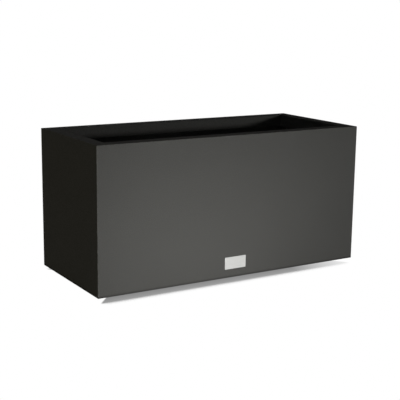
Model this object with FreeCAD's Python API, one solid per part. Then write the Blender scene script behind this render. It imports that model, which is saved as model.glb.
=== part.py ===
import FreeCAD, Part
import math
import os

# A long rectangular floor planter, folded from thin coated steel sheet.
# Sizes are in millimetres. X runs along the length, the front faces -Y and Z is up.
# The origin lies on the floor, under the middle of the box.

# Outside of the box
LENGTH = 930.0
DEPTH = 405.0
HEIGHT = 457.0
FLOOR_GAP = 15.0
CORNER_ROUND = 1.6

# Wall panels: bottom flange, wall, rim, turned-down lip and its safety hem
WALL_SHEET = 1.2
WALL_BEND = 1.0
RIM_WIDTH = 43.0
LIP_DROP = 37.0
HEM_RISE = 9.0
HEM_BEND = 0.4
BOTTOM_FLANGE = 24.0

# Folded angles inside the upright corners
ANGLE_SHEET = 1.5
ANGLE_LEG = 22.0
ANGLE_BEND = 1.5

# Gusset plates under the mitred rim corners
GUSSET_SHEET = 1.5
GUSSET_LEG = 95.0
GUSSET_ROUND = 5.0

# Pressed floor pan
PAN_SHEET = 1.5
PAN_FLANGE = 26.0
PAN_BEND = 1.5
PAN_CLEARANCE = 0.5
PAN_NOTCH_CLEARANCE = 1.0

# Ribs pressed up across the pan
RIB_COUNT = 5
RIB_WIDTH = 34.0
RIB_RISE = 6.0
RIB_FLANK = 5.0
RIB_END_MARGIN = 48.0

# Drain holes, each in a shallow dish midway between two ribs
DRAIN_BORE = 25.0
DRAIN_PITCH_SHARE = 1.5
DRAIN_ROW_SPACING = 170.0
DISH_DIAMETER = 66.0
DISH_FLOOR_DIAMETER = 44.0
DISH_DEPTH = 3.0

# Rubber drain plugs with a finger tab
PLUG_CLEARANCE = 0.3
PLUG_TAPER = 1.2
PLUG_STEM = 8.0
PLUG_CAP_DIAMETER = 36.0
PLUG_CAP_THICKNESS = 3.0
PLUG_CAP_BEVEL = 0.8
TAB_WIDTH = 16.0
TAB_THICKNESS = 4.0
TAB_RISE = 13.0

# Rivets through the pan and the walls' bottom flanges
RIVET_DIAMETER = 4.8
RIVET_HEAD_DIAMETER = 9.6
RIVET_HEAD_RISE = 1.6
RIVET_HEAD_BEVEL = 1.0
RIVET_TAIL_DIAMETER = 7.2
RIVET_TAIL_DROP = 2.4
RIVET_INSET = 14.0
RIVET_END_INSET = 62.0
LONG_SIDE_RIVETS = 5
SHORT_SIDE_RIVETS = 2

# Rubber feet
FOOT_INSET_X = 80.0
FOOT_INSET_Y = 92.0
FOOT_TOP_DIAMETER = 44.0
FOOT_BASE_DIAMETER = 38.0
FOOT_BEVEL = 1.5
FOOT_RECESS_DIAMETER = 17.0
FOOT_RECESS_DEPTH = 9.0

# Screws, washers and nuts, one size throughout
SCREW_DIAMETER = 6.0
SCREW_TAIL = 2.0
SCREW_HEAD_DIAMETER = 11.0
SCREW_HEAD_HEIGHT = 3.6
SCREW_HEAD_BEVEL = 1.2
SCREW_SOCKET_FLATS = 4.0
SCREW_SOCKET_DEPTH = 2.0
WASHER_DIAMETER = 15.0
WASHER_SHEET = 1.2
NUT_FLATS = 10.0
NUT_HEIGHT = 5.0
BOLT_HEAD_HEIGHT = 4.0
HOLE_CLEARANCE = 0.3
THREAD_CLEARANCE = 0.06

# Brace across the middle and the shelf brackets that carry it
BRACE_TOP = 236.0
BRACE_SHEET = 1.5
BRACE_BEND = 1.5
BRACE_SIDE = 22.0
BRACE_SIDE_CLEARANCE = 0.4
BRACE_END_GAP = 2.0
BRACE_BOLT_REACH = 24.0
BRACKET_SHEET = 2.0
BRACKET_BEND = 2.0
BRACKET_WIDTH = 30.0
BRACKET_REACH = 40.0
BRACKET_DROP = 52.0
BRACKET_ROUND = 6.0

# Bare plate on the front and the pad that holds it
BADGE_WIDTH = 76.0
BADGE_HEIGHT = 38.0
BADGE_SHEET = 1.2
BADGE_ROUND = 1.5
BADGE_BEVEL = 0.4
BADGE_RISE = 47.0
PAD_MARGIN = 3.0
PAD_SHEET = 0.8

# How far a cutting shape runs past what it cuts, and when two points count as one
OVERRUN = 5.0
SAME_POINT = 1e-6

# Levels and places that several pieces share
PAN_BOTTOM = FLOOR_GAP + WALL_SHEET
PAN_TOP = PAN_BOTTOM + PAN_SHEET
DISH_TOP = PAN_TOP - DISH_DEPTH
FOOT_X = LENGTH / 2 - FOOT_INSET_X
FOOT_Y = DEPTH / 2 - FOOT_INSET_Y
RIB_PITCH = 2 * FOOT_X / (RIB_COUNT + 1)
DRAIN_X = DRAIN_PITCH_SHARE * RIB_PITCH
DRAIN_Y = DRAIN_ROW_SPACING / 2
SHELF_TOP = BRACE_TOP - BRACE_SHEET
SCREW_HOLE = SCREW_DIAMETER + 2 * HOLE_CLEARANCE
NUT_BORE = SCREW_DIAMETER + 2 * THREAD_CLEARANCE

Vector = FreeCAD.Vector
ORIGIN = Vector(0, 0, 0)
X_AXIS = Vector(1, 0, 0)
Y_AXIS = Vector(0, 1, 0)
Z_AXIS = Vector(0, 0, 1)

# Turns a section drawn in (x, y) so that x runs along Y and y runs up, or x along X and y up
ACROSS_Y = FreeCAD.Rotation(Vector(1, 1, 1), 120)
ACROSS_X = FreeCAD.Rotation(X_AXIS, 90)


def corner_arc(before, corner, after, radius):
    """Start, middle and end of the arc that rounds one corner of a flat outline."""
    back = (before - corner).normalize()
    ahead = (after - corner).normalize()
    half_angle = back.getAngle(ahead) / 2
    reach = radius / math.tan(half_angle)
    inward = (back + ahead).normalize()
    middle = corner + inward * (radius / math.sin(half_angle) - radius)
    return corner + back * reach, middle, corner + ahead * reach


def rounded_face(points, radii):
    """Flat face inside a closed outline whose corners are rounded by the given radii."""
    corners = [Vector(x, y, 0) for x, y in points]
    count = len(corners)
    edges = []
    stretches = []
    for i, radius in enumerate(radii):
        if radius == 0:
            stretches.append((corners[i], corners[i]))
            continue
        start, middle, end = corner_arc(corners[i - 1], corners[i], corners[(i + 1) % count], radius)
        edges.append(Part.Arc(start, middle, end).toShape())
        stretches.append((start, end))
    for i in range(count):
        start = stretches[i - 1][1]
        end = stretches[i][0]
        if not start.isEqual(end, SAME_POINT):
            edges.append(Part.makeLine(start, end))
    return Part.Face(Part.Wire(Part.__sortEdges__(edges)))


def folded_face(path, bends, sheet):
    """Section of a sheet folded along its middle line, with the inside radius of each bend."""
    line = [Vector(x, y, 0) for x, y in path]
    ways = [(b - a).normalize() for a, b in zip(line, line[1:])]
    sides = [Z_AXIS.cross(way) for way in ways]
    left = [line[0] + sides[0] * (sheet / 2)]
    right = [line[0] - sides[0] * (sheet / 2)]
    left_radii = [0]
    right_radii = [0]
    for i, bend in enumerate(bends):
        shift = (sides[i] + sides[i + 1]) * (sheet / 2 / (1 + sides[i].dot(sides[i + 1])))
        turns_left = ways[i].cross(ways[i + 1]).z > 0
        left.append(line[i + 1] + shift)
        right.append(line[i + 1] - shift)
        left_radii.append(bend if turns_left else bend + sheet)
        right_radii.append(bend + sheet if turns_left else bend)
    left.append(line[-1] + sides[-1] * (sheet / 2))
    right.append(line[-1] - sides[-1] * (sheet / 2))
    left_radii.append(0)
    right_radii.append(0)
    outline = [(point.x, point.y) for point in left + right[::-1]]
    return rounded_face(outline, left_radii + right_radii[::-1])


def flat_face(points):
    """Flat face inside a closed outline with sharp corners."""
    return rounded_face(points, [0] * len(points))


def rectangle(x_from, x_to, y_from, y_to):
    """Corner points of an upright rectangle."""
    return [(x_from, y_from), (x_to, y_from), (x_to, y_to), (x_from, y_to)]


def slot_face(width, length):
    """Slot with round ends, its length along Y."""
    outline = rectangle(-width / 2, width / 2, -length / 2, length / 2)
    return rounded_face(outline, [width / 2] * len(outline))


def hexagon_face(flats):
    """Regular hexagon by its size across flats."""
    radius = flats / math.sqrt(3)
    angles = [math.radians(60 * i) for i in range(6)]
    return flat_face([(radius * math.cos(a), radius * math.sin(a)) for a in angles])


def turned(points):
    """Solid of revolution about Z from an outline of (radius, height) points."""
    face = flat_face(points)
    face.Placement = FreeCAD.Placement(ORIGIN, ACROSS_X)
    return face.revolve(ORIGIN, Z_AXIS, 360)


def upright(face, bottom, top):
    """Extrude a flat outline from one level to another."""
    raised = face.translated(Vector(0, 0, bottom))
    return raised.extrude(Vector(0, 0, top - bottom))


def along_x(face, x_from, x_to, y, z):
    """Carry a section along X, its own origin at (y, z)."""
    section = face.copy()
    section.Placement = FreeCAD.Placement(Vector(x_from, y, z), ACROSS_Y)
    return section.extrude(Vector(x_to - x_from, 0, 0))


def along_y(face, y_from, y_to, x, z):
    """Carry a section along Y, its own origin at (x, z)."""
    section = face.copy()
    section.Placement = FreeCAD.Placement(Vector(x, y_from, z), ACROSS_X)
    return section.extrude(Vector(0, y_to - y_from, 0))


def rod(diameter, bottom, top, x=0, y=0):
    """Plain upright cylinder."""
    return Part.makeCylinder(diameter / 2, top - bottom, Vector(x, y, bottom), Z_AXIS)


def at_places(solid, places):
    """Copies of one solid at a list of (x, y) places."""
    return [solid.translated(Vector(x, y, 0)) for x, y in places]


def four_corners(solid):
    """A piece made in the front left corner, and its mirrored copies in the other three."""
    front_right = solid.mirror(ORIGIN, X_AXIS)
    return {
        "front_left": solid,
        "front_right": front_right,
        "back_left": solid.mirror(ORIGIN, Y_AXIS),
        "back_right": front_right.mirror(ORIGIN, Y_AXIS),
    }


def four_places(x, y):
    """Places mirrored about both middle lines."""
    return {
        "front_left": (-x, -y),
        "front_right": (x, -y),
        "back_left": (-x, y),
        "back_right": (x, y),
    }


def even_places(reach, count):
    """Evenly spaced places from -reach to reach."""
    return [reach * (2 * i / (count - 1) - 1) for i in range(count)]


def rivet_places():
    """Middles of the rivets along the four bottom flanges."""
    y = DEPTH / 2 - RIVET_INSET
    x = LENGTH / 2 - RIVET_INSET
    along_length = even_places(LENGTH / 2 - RIVET_END_INSET, LONG_SIDE_RIVETS)
    along_depth = even_places(DEPTH / 2 - RIVET_END_INSET, SHORT_SIDE_RIVETS)
    long_sides = [(place, side) for side in (-y, y) for place in along_length]
    short_sides = [(side, place) for side in (-x, x) for place in along_depth]
    return long_sides + short_sides


def wall_section():
    """Section of a wall, measured inwards from its outer face and up from its bottom edge."""
    half = WALL_SHEET / 2
    rise = HEIGHT - FLOOR_GAP
    lip = RIM_WIDTH - half
    hem = lip - WALL_SHEET - 2 * HEM_BEND
    lip_end = rise - LIP_DROP
    path = [
        (BOTTOM_FLANGE, half),
        (half, half),
        (half, rise - half),
        (lip, rise - half),
        (lip, lip_end + half),
        (hem, lip_end + half),
        (hem, lip_end + HEM_RISE),
    ]
    return folded_face(path, [WALL_BEND, WALL_BEND, WALL_BEND, HEM_BEND, HEM_BEND], WALL_SHEET)


def mitre_block(run, set_back):
    """Block that keeps what lies between the two mitres of a wall of this run."""
    inner = RIM_WIDTH + OVERRUN
    outline = [
        (-run / 2 - OVERRUN, -set_back - OVERRUN),
        (run / 2 + OVERRUN, -set_back - OVERRUN),
        (run / 2 - inner, inner - set_back),
        (inner - run / 2, inner - set_back),
    ]
    return upright(flat_face(outline), FLOOR_GAP - OVERRUN, HEIGHT + OVERRUN)


def box_block():
    """Block of the whole box, its upright corners rounded as a ground-down weld leaves them."""
    plan = rectangle(-LENGTH / 2, LENGTH / 2, -DEPTH / 2, DEPTH / 2)
    outline = rounded_face(plan, [CORNER_ROUND] * len(plan))
    return upright(outline, FLOOR_GAP - OVERRUN, HEIGHT + OVERRUN)


def wall_panel(run, set_back, turn):
    """One folded wall, mitred at both ends, drilled for its rivets and turned to its side."""
    sheet = along_x(wall_section(), -run / 2 - OVERRUN, run / 2 + OVERRUN, -set_back, FLOOR_GAP)
    panel = sheet.common(mitre_block(run, set_back))
    panel.rotate(ORIGIN, Z_AXIS, turn)
    panel = panel.common(box_block())
    hole = rod(RIVET_DIAMETER + 2 * HOLE_CLEARANCE, FLOOR_GAP - OVERRUN, FLOOR_GAP + OVERRUN)
    return panel.cut(at_places(hole, rivet_places())).removeSplitter().Solids[0]


def corner_angle():
    """Folded angle in the front left corner, from the bottom flange's bend to the gusset."""
    inside = WALL_SHEET + ANGLE_SHEET / 2
    end = WALL_SHEET + ANGLE_LEG
    face = folded_face([(end, inside), (inside, inside), (inside, end)], [ANGLE_BEND], ANGLE_SHEET)
    angle = upright(face, PAN_BOTTOM + WALL_BEND, HEIGHT - WALL_SHEET - GUSSET_SHEET)
    return angle.translated(Vector(-LENGTH / 2, -DEPTH / 2, 0))


def rim_gusset():
    """L-shaped plate under the front left rim corner, clear of the rim's bends."""
    outer = WALL_SHEET + WALL_BEND
    inner = RIM_WIDTH - outer
    outline = [
        (outer, outer),
        (GUSSET_LEG, outer),
        (GUSSET_LEG, inner),
        (inner, inner),
        (inner, GUSSET_LEG),
        (outer, GUSSET_LEG),
    ]
    face = rounded_face(outline, [0, GUSSET_ROUND, GUSSET_ROUND, 0, GUSSET_ROUND, GUSSET_ROUND])
    top = HEIGHT - WALL_SHEET
    return upright(face, top - GUSSET_SHEET, top).translated(Vector(-LENGTH / 2, -DEPTH / 2, 0))


def pan_section(outside):
    """Tray section of the pan between two walls that stand this far apart outside."""
    edge = outside / 2 - WALL_SHEET - PAN_CLEARANCE - PAN_SHEET / 2
    floor = PAN_SHEET / 2
    path = [(-edge, PAN_FLANGE), (-edge, floor), (edge, floor), (edge, PAN_FLANGE)]
    return folded_face(path, [PAN_BEND, PAN_BEND], PAN_SHEET)


def rib_bump(bottom):
    """Raised rib with sloping flanks and round ends that starts at this level."""
    length = DEPTH - 2 * RIB_END_MARGIN
    foot = slot_face(RIB_WIDTH, length).translated(Vector(0, 0, bottom))
    crest = slot_face(RIB_WIDTH - 2 * RIB_FLANK, length - 2 * RIB_FLANK)
    crest.translate(Vector(0, 0, bottom + RIB_RISE))
    return Part.makeLoft([foot.OuterWire, crest.OuterWire], True, True)


def drain_dish():
    """Shallow pressed dish with the drain hole in its middle."""
    bore = DRAIN_BORE / 2
    floor = DISH_FLOOR_DIAMETER / 2
    rim = DISH_DIAMETER / 2
    outline = [
        (bore, DISH_TOP - PAN_SHEET),
        (floor, DISH_TOP - PAN_SHEET),
        (rim, PAN_BOTTOM),
        (rim, PAN_TOP),
        (floor, DISH_TOP),
        (bore, DISH_TOP),
    ]
    return turned(outline)


def base_pan():
    """Floor pan: crossed trays that leave the corners open, ribs, drain dishes and fixing holes."""
    notch = WALL_SHEET + ANGLE_LEG + PAN_NOTCH_CLEARANCE
    x_end = LENGTH / 2 - notch
    y_end = DEPTH / 2 - notch
    pan = along_x(pan_section(DEPTH), -x_end, x_end, 0, PAN_BOTTOM)
    pan = pan.fuse(along_y(pan_section(LENGTH), -y_end, y_end, 0, PAN_BOTTOM))
    ribs = [(RIB_PITCH * (i - (RIB_COUNT - 1) / 2), 0) for i in range(RIB_COUNT)]
    pan = pan.fuse(at_places(rib_bump(PAN_TOP), ribs))
    pan = pan.cut(at_places(rib_bump(PAN_BOTTOM), ribs))
    drains = four_places(DRAIN_X, DRAIN_Y).values()
    pan = pan.cut(at_places(rod(DISH_DIAMETER, PAN_BOTTOM - OVERRUN, PAN_TOP + OVERRUN), drains))
    pan = pan.fuse(at_places(drain_dish(), drains))
    rivet_hole = rod(RIVET_DIAMETER + 2 * HOLE_CLEARANCE, PAN_BOTTOM - OVERRUN, PAN_TOP + OVERRUN)
    screw_hole = rod(SCREW_HOLE, PAN_BOTTOM - OVERRUN, PAN_TOP + OVERRUN)
    pan = pan.cut(at_places(rivet_hole, rivet_places()))
    pan = pan.cut(at_places(screw_hole, four_places(FOOT_X, FOOT_Y).values()))
    return pan.removeSplitter().Solids[0]


def base_rivet():
    """Blind rivet with its head on the pan and its set tail under the wall's flange."""
    shank = RIVET_DIAMETER / 2
    tail = RIVET_TAIL_DIAMETER / 2
    head = RIVET_HEAD_DIAMETER / 2
    outline = [
        (0, FLOOR_GAP - RIVET_TAIL_DROP),
        (tail, FLOOR_GAP - RIVET_TAIL_DROP),
        (tail, FLOOR_GAP),
        (shank, FLOOR_GAP),
        (shank, PAN_TOP),
        (head, PAN_TOP),
        (head, PAN_TOP + RIVET_HEAD_RISE - RIVET_HEAD_BEVEL),
        (head - RIVET_HEAD_BEVEL, PAN_TOP + RIVET_HEAD_RISE),
        (0, PAN_TOP + RIVET_HEAD_RISE),
    ]
    return turned(outline)


def foot():
    """Tapered rubber foot with a recess below for its screw and washer."""
    bore = SCREW_HOLE / 2
    recess = FOOT_RECESS_DIAMETER / 2
    outline = [
        (recess, 0),
        (FOOT_BASE_DIAMETER / 2 - FOOT_BEVEL, 0),
        (FOOT_BASE_DIAMETER / 2, FOOT_BEVEL),
        (FOOT_TOP_DIAMETER / 2, PAN_BOTTOM),
        (bore, PAN_BOTTOM),
        (bore, FOOT_RECESS_DEPTH),
        (recess, FOOT_RECESS_DEPTH),
    ]
    return turned(outline)


def foot_washer():
    """Plain washer against the ceiling of the foot's recess."""
    bottom = FOOT_RECESS_DEPTH - WASHER_SHEET
    washer = rod(WASHER_DIAMETER, bottom, FOOT_RECESS_DEPTH)
    return washer.cut(rod(SCREW_HOLE, bottom - OVERRUN, FOOT_RECESS_DEPTH + OVERRUN))


def foot_screw():
    """Round-headed socket screw from the foot's recess up through the pan and its nut."""
    seat = FOOT_RECESS_DEPTH - WASHER_SHEET
    bottom = seat - SCREW_HEAD_HEIGHT
    shank = SCREW_DIAMETER / 2
    head = SCREW_HEAD_DIAMETER / 2
    top = PAN_TOP + NUT_HEIGHT + SCREW_TAIL
    outline = [
        (0, bottom),
        (head - SCREW_HEAD_BEVEL, bottom),
        (head, bottom + SCREW_HEAD_BEVEL),
        (head, seat),
        (shank, seat),
        (shank, top),
        (0, top),
    ]
    screw = turned(outline)
    socket = upright(hexagon_face(SCREW_SOCKET_FLATS), bottom - OVERRUN, bottom + SCREW_SOCKET_DEPTH)
    return screw.cut(socket)


def hex_nut(bottom):
    """Plain hexagon nut that stands on this level."""
    top = bottom + NUT_HEIGHT
    nut = upright(hexagon_face(NUT_FLATS), bottom, top)
    return nut.cut(rod(NUT_BORE, bottom - OVERRUN, top + OVERRUN))


def brace_bolt():
    """Hexagon bolt down through the brace and its bracket."""
    end = SHELF_TOP - BRACKET_SHEET - NUT_HEIGHT - SCREW_TAIL
    head = upright(hexagon_face(NUT_FLATS), BRACE_TOP, BRACE_TOP + BOLT_HEAD_HEIGHT)
    return head.fuse(rod(SCREW_DIAMETER, end, BRACE_TOP))


def brace_bolt_places():
    """Middles of the brace's bolts, one at each long wall."""
    y = DEPTH / 2 - WALL_SHEET - BRACE_BOLT_REACH
    return [(0, -y), (0, y)]


def brace_bracket():
    """Shelf bracket on the inside of the front wall, its shelf's free corners rounded."""
    half = BRACKET_SHEET / 2
    section = folded_face(
        [(half, -BRACKET_DROP), (half, -half), (BRACKET_REACH, -half)], [BRACKET_BEND], BRACKET_SHEET
    )
    wall = WALL_SHEET - DEPTH / 2
    bracket = along_x(section, -BRACKET_WIDTH / 2, BRACKET_WIDTH / 2, wall, SHELF_TOP)
    plan = rectangle(-BRACKET_WIDTH / 2, BRACKET_WIDTH / 2, wall, wall + BRACKET_REACH)
    outline = rounded_face(plan, [0, 0, BRACKET_ROUND, BRACKET_ROUND])
    bracket = bracket.common(upright(outline, SHELF_TOP - BRACKET_DROP - OVERRUN, SHELF_TOP + OVERRUN))
    hole = rod(SCREW_HOLE, SHELF_TOP - BRACKET_SHEET - OVERRUN, SHELF_TOP + OVERRUN)
    return bracket.cut(at_places(hole, brace_bolt_places())).Solids[0]


def cross_brace():
    """Channel with its web up, which sits over the shelves of the two brackets."""
    inside = BRACKET_WIDTH / 2 + BRACE_BEND + BRACE_SIDE_CLEARANCE
    side = inside + BRACE_SHEET / 2
    web = -BRACE_SHEET / 2
    path = [(-side, -BRACE_SIDE), (-side, web), (side, web), (side, -BRACE_SIDE)]
    section = folded_face(path, [BRACE_BEND, BRACE_BEND], BRACE_SHEET)
    end = DEPTH / 2 - WALL_SHEET - BRACE_END_GAP
    brace = along_y(section, -end, end, 0, BRACE_TOP)
    hole = rod(SCREW_HOLE, SHELF_TOP - OVERRUN, BRACE_TOP + OVERRUN)
    return brace.cut(at_places(hole, brace_bolt_places())).Solids[0]


def drain_plug():
    """Rubber plug with a tapered stem, a cap that sits in the dish and a finger tab."""
    stem = DRAIN_BORE / 2 - PLUG_CLEARANCE
    cap = PLUG_CAP_DIAMETER / 2
    cap_top = DISH_TOP + PLUG_CAP_THICKNESS
    outline = [
        (0, DISH_TOP - PLUG_STEM),
        (stem - PLUG_TAPER, DISH_TOP - PLUG_STEM),
        (stem, DISH_TOP),
        (cap, DISH_TOP),
        (cap, cap_top - PLUG_CAP_BEVEL),
        (cap - PLUG_CAP_BEVEL, cap_top),
        (0, cap_top),
    ]
    plug = turned(outline)
    tab_top = PLUG_CAP_THICKNESS + TAB_RISE
    tab_outline = rectangle(-TAB_WIDTH / 2, TAB_WIDTH / 2, PLUG_CAP_THICKNESS / 2, tab_top)
    tab_face = rounded_face(tab_outline, [0, 0, TAB_WIDTH / 2, TAB_WIDTH / 2])
    tab = along_y(tab_face, -TAB_THICKNESS / 2, TAB_THICKNESS / 2, 0, DISH_TOP)
    return plug.fuse(tab).removeSplitter().Solids[0]


def badge_block(width, height, corner, y_from, y_to):
    """Flat plate with rounded corners on the front, at the badge's height."""
    outline = rectangle(-width / 2, width / 2, -height / 2, height / 2)
    face = rounded_face(outline, [corner] * len(outline))
    return along_y(face, y_from, y_to, 0, FLOOR_GAP + BADGE_RISE)


def badge_plate():
    """Bare metal plate with a fine bevel round its face."""
    back = -DEPTH / 2 - PAD_SHEET
    front = back - BADGE_SHEET
    plate = badge_block(BADGE_WIDTH, BADGE_HEIGHT, BADGE_ROUND, back, front)
    rim = [edge for edge in plate.Edges if edge.BoundBox.YMax < front + SAME_POINT]
    return plate.makeChamfer(BADGE_BEVEL, rim)


def badge_pad():
    """Adhesive pad behind the badge plate."""
    width = BADGE_WIDTH - 2 * PAD_MARGIN
    height = BADGE_HEIGHT - 2 * PAD_MARGIN
    return badge_block(width, height, BADGE_ROUND, -DEPTH / 2, -DEPTH / 2 - PAD_SHEET)


def group(solids):
    """Like pieces that share one node."""
    return Part.makeCompound(solids)


def all_pieces():
    """Every piece of the planter by its name."""
    feet = four_places(FOOT_X, FOOT_Y)
    bolts = brace_bolt_places()
    front_bracket = brace_bracket()
    pieces = {
        "front_panel": wall_panel(LENGTH, DEPTH / 2, 0),
        "right_end_panel": wall_panel(DEPTH, LENGTH / 2, 90),
        "back_panel": wall_panel(LENGTH, DEPTH / 2, 180),
        "left_end_panel": wall_panel(DEPTH, LENGTH / 2, 270),
        "base_pan": base_pan(),
        "base_rivets": group(at_places(base_rivet(), rivet_places())),
        "foot_screws": group(at_places(foot_screw(), feet.values())),
        "foot_washers": group(at_places(foot_washer(), feet.values())),
        "foot_nuts": group(at_places(hex_nut(PAN_TOP), feet.values())),
        "brace_bracket_front": front_bracket,
        "brace_bracket_back": front_bracket.mirror(ORIGIN, Y_AXIS),
        "cross_brace": cross_brace(),
        "brace_bolts": group(at_places(brace_bolt(), bolts)),
        "brace_nuts": group(at_places(hex_nut(SHELF_TOP - BRACKET_SHEET - NUT_HEIGHT), bolts)),
        "badge_plate": badge_plate(),
        "badge_adhesive_pad": badge_pad(),
    }
    for corner, solid in four_corners(corner_angle()).items():
        pieces["corner_angle_" + corner] = solid
    for corner, solid in four_corners(rim_gusset()).items():
        pieces["rim_gusset_" + corner] = solid
    for corner, (x, y) in feet.items():
        pieces["foot_" + corner] = foot().translated(Vector(x, y, 0))
    for corner, (x, y) in four_places(DRAIN_X, DRAIN_Y).items():
        pieces["drain_plug_" + corner] = drain_plug().translated(Vector(x, y, 0))
    return pieces


os.makedirs("parts", exist_ok=True)
for name, shape in all_pieces().items():
    shape.exportStep("parts/" + name + ".step")
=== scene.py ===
"""Looks of a long steel floor planter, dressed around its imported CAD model."""

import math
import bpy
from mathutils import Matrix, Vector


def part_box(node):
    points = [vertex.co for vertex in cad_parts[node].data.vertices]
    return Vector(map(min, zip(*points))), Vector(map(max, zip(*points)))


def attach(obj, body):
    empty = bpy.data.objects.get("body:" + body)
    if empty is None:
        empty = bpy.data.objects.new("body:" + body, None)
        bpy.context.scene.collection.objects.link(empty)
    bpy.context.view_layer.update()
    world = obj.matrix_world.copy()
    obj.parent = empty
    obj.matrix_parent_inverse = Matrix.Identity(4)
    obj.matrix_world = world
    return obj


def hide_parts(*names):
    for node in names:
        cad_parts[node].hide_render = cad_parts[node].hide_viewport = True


bl_info = {
    "name": "Steel floor planter",
    "version": (1, 0, 0),
    "blender": (4, 5, 0),
    "location": "3D View > Sidebar > Planter",
    "description": "Finishes, fasteners, welds and studio of a folded steel planter",
    "category": "Add Mesh",
}

import bpy
import numpy as np
from mathutils import Matrix, Vector

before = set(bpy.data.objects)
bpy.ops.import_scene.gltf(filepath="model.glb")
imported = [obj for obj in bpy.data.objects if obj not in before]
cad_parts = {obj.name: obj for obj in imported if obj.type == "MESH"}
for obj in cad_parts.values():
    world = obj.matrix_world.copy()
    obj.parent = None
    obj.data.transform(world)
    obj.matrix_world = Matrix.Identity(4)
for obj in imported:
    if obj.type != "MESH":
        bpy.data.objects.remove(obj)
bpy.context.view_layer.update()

CORNERS = ("front_left", "front_right", "back_left", "back_right")
PANELS = ("front_panel", "back_panel", "left_end_panel", "right_end_panel")
MAIN_BODY = "planter"
SHARP_EDGE = math.radians(35)

# Outside of the walls, the top of the rim and the bottom edge, from the panels of the frame
WALL_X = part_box("right_end_panel")[1][0]
WALL_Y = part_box("back_panel")[1][1]
RIM_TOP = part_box("front_panel")[1][2]
WALL_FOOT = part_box("front_panel")[0][2]

# The 6 mm screws and bolts: shank, hole for it, flats of nuts and bolt heads, and coarse thread
SHANK_RADIUS = 0.003
HOLE_RADIUS = 0.0033
NUT_FLATS = 0.010
THREAD_PITCH = 0.001
THREAD_DEPTH = 0.00055

# How finely a thread is drawn
ROWS_PER_TURN = 10

# Spans about zero over which a grain or a cloud goes from its darkest to its lightest
SOFT_SPAN = (-0.25, 0.25)
STEEP_SPAN = (-0.2, 0.2)


# Sizes and colours that a user would change

class CoatSettings(bpy.types.PropertyGroup):
    """Powder coat on the folded sheet."""
    colour: bpy.props.FloatVectorProperty(
        name="Colour", description="Coat colour", subtype="COLOR", default=(0.0765, 0.0760, 0.0715))
    roughness: bpy.props.FloatProperty(
        name="Roughness", description="Mean roughness of the coat", default=0.85, subtype="FACTOR")
    gloss: bpy.props.FloatProperty(
        name="Gloss", description="Specular level of the coat", default=0.002, subtype="FACTOR")
    peel_width: bpy.props.FloatProperty(
        name="Peel width", description="Size of one orange-peel dimple", default=0.0022, unit="LENGTH")
    dust: bpy.props.FloatProperty(
        name="Dust", description="Dust on faces that look up", default=0.05, subtype="FACTOR")
    seam: bpy.props.FloatProperty(
        name="Seam", description="Half the width of the hairline along a mitre", default=0.0006,
        unit="LENGTH")


class ZincSettings(bpy.types.PropertyGroup):
    """Bare zinc on the pan and the brace, and plating on the fasteners."""
    colour: bpy.props.FloatVectorProperty(
        name="Colour", description="Mean colour of the zinc", subtype="COLOR", default=(0.42, 0.44, 0.45))
    spangle: bpy.props.FloatProperty(
        name="Spangle", description="Width of one zinc crystal", default=0.009, unit="LENGTH")
    plating: bpy.props.FloatVectorProperty(
        name="Plating", description="Colour of the plated fasteners", subtype="COLOR",
        default=(0.52, 0.52, 0.50))


class RubberSettings(bpy.types.PropertyGroup):
    """Moulded rubber of the feet and the drain plugs."""
    foot_colour: bpy.props.FloatVectorProperty(
        name="Foot colour", description="Rubber of the feet", subtype="COLOR", default=(0.020, 0.020, 0.020))
    plug_colour: bpy.props.FloatVectorProperty(
        name="Plug colour", description="Rubber of the plugs", subtype="COLOR", default=(0.030, 0.030, 0.030))


class BadgeSettings(bpy.types.PropertyGroup):
    """Bare plate on the front."""
    colour: bpy.props.FloatVectorProperty(
        name="Colour", description="Brushed metal", subtype="COLOR", default=(0.50, 0.50, 0.485))
    border: bpy.props.FloatProperty(
        name="Border", description="Width of the raised border", default=0.0032, unit="LENGTH")
    field_depth: bpy.props.FloatProperty(
        name="Field depth", description="How far the field lies behind the border", default=0.0003,
        unit="LENGTH")


class WeldSettings(bpy.types.PropertyGroup):
    """Stitch welds inside the corners and beside the brackets, and seams across the bottom mitres."""
    size: bpy.props.FloatProperty(
        name="Size", description="Leg of a fillet weld", default=0.0028, unit="LENGTH")
    stitch: bpy.props.FloatProperty(
        name="Stitch", description="Length of one stitch", default=0.030, unit="LENGTH")
    pitch: bpy.props.FloatProperty(
        name="Ripple pitch", description="Distance between two ripples", default=0.0016, unit="LENGTH")
    stitches: bpy.props.IntProperty(
        name="Stitches", description="Stitches along each leg of a corner angle", default=5)
    seam_width: bpy.props.FloatProperty(
        name="Seam width", description="Half the width of a mitre seam", default=0.0017, unit="LENGTH")
    seam_height: bpy.props.FloatProperty(
        name="Seam height", description="How far a mitre seam stands out", default=0.0004, unit="LENGTH")


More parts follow.
